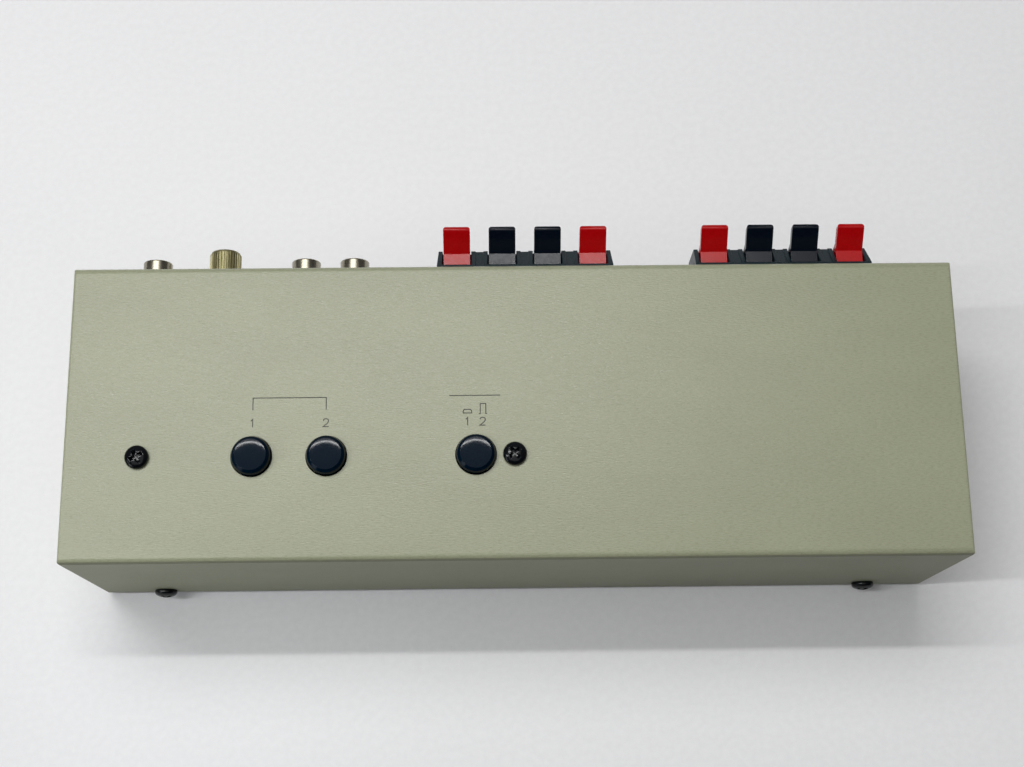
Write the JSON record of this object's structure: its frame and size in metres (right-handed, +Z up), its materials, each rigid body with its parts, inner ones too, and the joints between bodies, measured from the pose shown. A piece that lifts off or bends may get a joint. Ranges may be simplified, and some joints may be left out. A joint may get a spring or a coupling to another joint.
{
  "type": "amplifier selector switch",
  "caption": "Low folded metal box with round push buttons on top and phono jacks, an earth post and lever wire terminals on its back, for switching amplifiers and loudspeakers.",
  "frame": {"origin": "middle of the outline, on the surface that the feet stand on", "axes": "+X along the case to the right as seen from the front, +Y to the back wall with the connectors, +Z up"},
  "size_m": [0.242, 0.0982, 0.062],
  "materials": {
    "case_paint": "satin champagne paint with a fine grain along the case",
    "base_metal": "satin",
    "black_screw": "black zinc",
    "rubber": "matte",
    "button_plastic": "gloss",
    "ivory_plastic": "moulded",
    "brown_plastic": "moulded",
    "plated_steel": "zinc plated",
    "tinned_brass": "plated",
    "phenolic": "laminate",
    "nickel": "nickel plate",
    "aged_brass": "knurled, plate worn to the metal",
    "white_plastic": "moulded",
    "red_plastic": "moulded",
    "terminal_plastic": "moulded",
    "lever_red": "moulded",
    "lever_black": "moulded",
    "wire_cover": "insulation"
  },
  "bodies": {
    "case": {"top_case": "case_paint", "base_plate": "base_metal", "case_screws": "black_screw", "rubber_feet": "rubber", "return_spring_a": "plated_steel", "return_spring_b": "plated_steel", "return_spring_c": "plated_steel", "switch_body_a": "brown_plastic", "switch_body_b": "brown_plastic", "switch_body_c": "brown_plastic", "switch_frame": "plated_steel", "switch_screws": "black_screw", "switch_pins": "tinned_brass", "circuit_board": "phenolic", "input_jack_board": "phenolic", "output_jack_board": "phenolic", "jack_rivets": "nickel", "jack_shell_in_1": "nickel", "jack_shell_in_2": "nickel", "jack_shell_out_1": "nickel", "jack_shell_out_2": "nickel", "jack_shell_out_3": "nickel", "jack_shell_out_4": "nickel", "left_insulators": "white_plastic", "right_insulators": "red_plastic", "jack_contacts": "tinned_brass", "ground_post": "nickel", "ground_hex_nut": "nickel", "ground_washer": "nickel", "ground_lug": "tinned_brass", "terminal_block_left": "terminal_plastic", "terminal_block_right": "terminal_plastic", "contact_springs": "tinned_brass", "terminal_screws": "plated_steel", "signal_wires": "wire_cover", "speaker_wires": "wire_cover"},
    "button_a": {"button_cap_a": "button_plastic", "plunger_a": "ivory_plastic"},
    "button_b": {"button_cap_b": "button_plastic", "plunger_b": "ivory_plastic"},
    "button_c": {"button_cap_c": "button_plastic", "plunger_c": "ivory_plastic"},
    "latch": {"latch_bar": "plated_steel"},
    "earth_nut": {"ground_nut": "aged_brass"},
    "lever_l1_body": {"lever_l1": "lever_red"},
    "lever_l2_body": {"lever_l2": "lever_black"},
    "lever_l3_body": {"lever_l3": "lever_black"},
    "lever_l4_body": {"lever_l4": "lever_red"},
    "lever_l5_body": {"lever_l5": "lever_red"},
    "lever_l6_body": {"lever_l6": "lever_black"},
    "lever_l7_body": {"lever_l7": "lever_black"},
    "lever_l8_body": {"lever_l8": "lever_red"},
    "lever_r1_body": {"lever_r1": "lever_red"},
    "lever_r2_body": {"lever_r2": "lever_black"},
    "lever_r3_body": {"lever_r3": "lever_black"},
    "lever_r4_body": {"lever_r4": "lever_red"},
    "lever_r5_body": {"lever_r5": "lever_red"},
    "lever_r6_body": {"lever_r6": "lever_black"},
    "lever_r7_body": {"lever_r7": "lever_black"},
    "lever_r8_body": {"lever_r8": "lever_red"}
  },
  "joints": [
    {"name": "press_a", "type": "slide", "parent": "case", "child": "button_a", "axis": [0, 0, -1], "range_m": [0, 0.0025], "stiffness_N_per_m": 400, "springref_m": -0.002, "deforming": ["return_spring_a"]},
    {"name": "press_b", "type": "slide", "parent": "case", "child": "button_b", "axis": [0, 0, -1], "range_m": [0, 0.0025], "stiffness_N_per_m": 400, "springref_m": -0.002, "deforming": ["return_spring_b"]},
    {"name": "press_c", "type": "slide", "parent": "case", "child": "button_c", "axis": [0, 0, -1], "range_m": [0, 0.0025], "stiffness_N_per_m": 400, "springref_m": -0.002, "deforming": ["return_spring_c"]},
    {"name": "latch_slide", "type": "slide", "parent": "case", "child": "latch", "axis": [1, 0, 0], "range_m": [0, 0.0012], "stiffness_N_per_m": 200, "springref_m": -0.001},
    {"name": "earth_nut_turn", "type": "hinge", "parent": "case", "child": "earth_nut", "pos_m": [-0.0843, 0.0386, 0.031], "axis": [0, 1, 0], "range_deg": [0, 360]},
    {"name": "lever_l1_tilt", "type": "hinge", "parent": "case", "child": "lever_l1_body", "pos_m": [-0.0159, 0.0387, 0.0468], "axis": [-1, 0, 0], "range_deg": [0, 18], "stiffness_Nm_per_rad": 0.03, "springref_deg": -14.32, "deforming": ["contact_springs"]},
    {"name": "lever_l2_tilt", "type": "hinge", "parent": "case", "child": "lever_l2_body", "pos_m": [-0.0031, 0.0387, 0.0468], "axis": [-1, 0, 0], "range_deg": [0, 18], "stiffness_Nm_per_rad": 0.03, "springref_deg": -14.32, "deforming": ["contact_springs"]},
    {"name": "lever_l3_tilt", "type": "hinge", "parent": "case", "child": "lever_l3_body", "pos_m": [0.0097, 0.0387, 0.0468], "axis": [-1, 0, 0], "range_deg": [0, 18], "stiffness_Nm_per_rad": 0.03, "springref_deg": -14.32, "deforming": ["contact_springs"]},
    {"name": "lever_l4_tilt", "type": "hinge", "parent": "case", "child": "lever_l4_body", "pos_m": [0.0225, 0.0387, 0.0468], "axis": [-1, 0, 0], "range_deg": [0, 18], "stiffness_Nm_per_rad": 0.03, "springref_deg": -14.32, "deforming": ["contact_springs"]},
    {"name": "lever_l5_tilt", "type": "hinge", "parent": "case", "child": "lever_l5_body", "pos_m": [-0.0159, 0.0387, 0.0248], "axis": [-1, 0, 0], "range_deg": [0, 18], "stiffness_Nm_per_rad": 0.03, "springref_deg": -14.32, "deforming": ["contact_springs"]},
    {"name": "lever_l6_tilt", "type": "hinge", "parent": "case", "child": "lever_l6_body", "pos_m": [-0.0031, 0.0387, 0.0248], "axis": [-1, 0, 0], "range_deg": [0, 18], "stiffness_Nm_per_rad": 0.03, "springref_deg": -14.32, "deforming": ["contact_springs"]},
    {"name": "lever_l7_tilt", "type": "hinge", "parent": "case", "child": "lever_l7_body", "pos_m": [0.0097, 0.0387, 0.0248], "axis": [-1, 0, 0], "range_deg": [0, 18], "stiffness_Nm_per_rad": 0.03, "springref_deg": -14.32, "deforming": ["contact_springs"]},
    {"name": "lever_l8_tilt", "type": "hinge", "parent": "case", "child": "lever_l8_body", "pos_m": [0.0225, 0.0387, 0.0248], "axis": [-1, 0, 0], "range_deg": [0, 18], "stiffness_Nm_per_rad": 0.03, "springref_deg": -14.32, "deforming": ["contact_springs"]},
    {"name": "lever_r1_tilt", "type": "hinge", "parent": "case", "child": "lever_r1_body", "pos_m": [0.0568, 0.0387, 0.0468], "axis": [-1, 0, 0], "range_deg": [0, 18], "stiffness_Nm_per_rad": 0.03, "springref_deg": -14.32, "deforming": ["contact_springs"]},
    {"name": "lever_r2_tilt", "type": "hinge", "parent": "case", "child": "lever_r2_body", "pos_m": [0.0696, 0.0387, 0.0468], "axis": [-1, 0, 0], "range_deg": [0, 18], "stiffness_Nm_per_rad": 0.03, "springref_deg": -14.32, "deforming": ["contact_springs"]},
    {"name": "lever_r3_tilt", "type": "hinge", "parent": "case", "child": "lever_r3_body", "pos_m": [0.0824, 0.0387, 0.0468], "axis": [-1, 0, 0], "range_deg": [0, 18], "stiffness_Nm_per_rad": 0.03, "springref_deg": -14.32, "deforming": ["contact_springs"]},
    {"name": "lever_r4_tilt", "type": "hinge", "parent": "case", "child": "lever_r4_body", "pos_m": [0.0952, 0.0387, 0.0468], "axis": [-1, 0, 0], "range_deg": [0, 18], "stiffness_Nm_per_rad": 0.03, "springref_deg": -14.32, "deforming": ["contact_springs"]},
    {"name": "lever_r5_tilt", "type": "hinge", "parent": "case", "child": "lever_r5_body", "pos_m": [0.0568, 0.0387, 0.0248], "axis": [-1, 0, 0], "range_deg": [0, 18], "stiffness_Nm_per_rad": 0.03, "springref_deg": -14.32, "deforming": ["contact_springs"]},
    {"name": "lever_r6_tilt", "type": "hinge", "parent": "case", "child": "lever_r6_body", "pos_m": [0.0696, 0.0387, 0.0248], "axis": [-1, 0, 0], "range_deg": [0, 18], "stiffness_Nm_per_rad": 0.03, "springref_deg": -14.32, "deforming": ["contact_springs"]},
    {"name": "lever_r7_tilt", "type": "hinge", "parent": "case", "child": "lever_r7_body", "pos_m": [0.0824, 0.0387, 0.0248], "axis": [-1, 0, 0], "range_deg": [0, 18], "stiffness_Nm_per_rad": 0.03, "springref_deg": -14.32, "deforming": ["contact_springs"]},
    {"name": "lever_r8_tilt", "type": "hinge", "parent": "case", "child": "lever_r8_body", "pos_m": [0.0952, 0.0387, 0.0248], "axis": [-1, 0, 0], "range_deg": [0, 18], "stiffness_Nm_per_rad": 0.03, "springref_deg": -14.32, "deforming": ["contact_springs"]}
  ]
}
